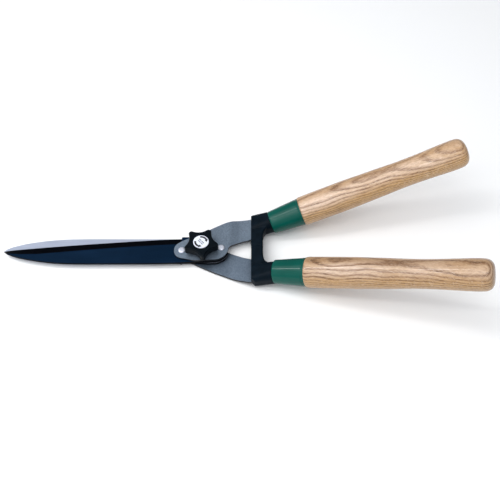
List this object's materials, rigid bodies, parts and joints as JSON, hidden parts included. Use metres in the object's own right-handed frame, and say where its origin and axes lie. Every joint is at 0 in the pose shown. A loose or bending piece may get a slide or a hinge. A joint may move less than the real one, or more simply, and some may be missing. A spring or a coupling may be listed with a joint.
{
  "type": "hedge shears",
  "caption": "Two-handed hedge shears: straight black-coated blades riveted to grey tangs, a knob-adjusted pivot, rubber bumper collars, steel ferrules and turned ash handles.",
  "frame": {"origin": "on the pivot axis, in the outer face of the pivot bolt's head, the lowest face of the shears", "axes": "+Z along the pivot axis from the bolt head to the knob, +X from the pivot towards the handles, closed blades along -X"},
  "size_m": [0.5362, 0.1989, 0.1018],
  "materials": {
    "coated_steel": "satin",
    "hammered_grey": "hammered satin",
    "zinc_steel": "bright zinc",
    "spring_steel": "blued",
    "bronze": "plain",
    "washer_plastic": "matte",
    "black_plastic": "moulded satin",
    "cap_white": "printed disc",
    "black_rubber": "moulded",
    "green_enamel": "gloss",
    "ash_wood": "clear lacquer"
  },
  "bodies": {
    "rear": {"rear_blade": "coated_steel", "rear_tang": "hammered_grey", "rear_rivets": "zinc_steel", "pivot_bolt": "zinc_steel", "pivot_washer": "washer_plastic", "thrust_washer": "zinc_steel", "spring_washer": "spring_steel", "rear_bumper": "black_rubber", "rear_ferrule": "green_enamel", "rear_handle": "ash_wood", "rear_ferrule_pin": "zinc_steel"},
    "front": {"front_blade": "coated_steel", "front_tang": "hammered_grey", "front_rivets": "zinc_steel", "pivot_bush": "bronze", "front_bumper": "black_rubber", "front_ferrule": "green_enamel", "front_handle": "ash_wood", "front_ferrule_pin": "zinc_steel"},
    "knob": {"knob_body": "black_plastic", "knob_nut": "bronze", "knob_cap": "cap_white"}
  },
  "joints": [
    {"name": "blade_pivot", "type": "hinge", "parent": "rear", "child": "front", "pos_m": [0, 0, 0.0072], "axis": [0, 0, 1], "range_deg": [0, 60]},
    {"name": "knob_turn", "type": "hinge", "parent": "rear", "child": "knob", "pos_m": [0, 0, 0.0156], "axis": [0, 0, 1], "range_deg": [-30, 330]}
  ]
}
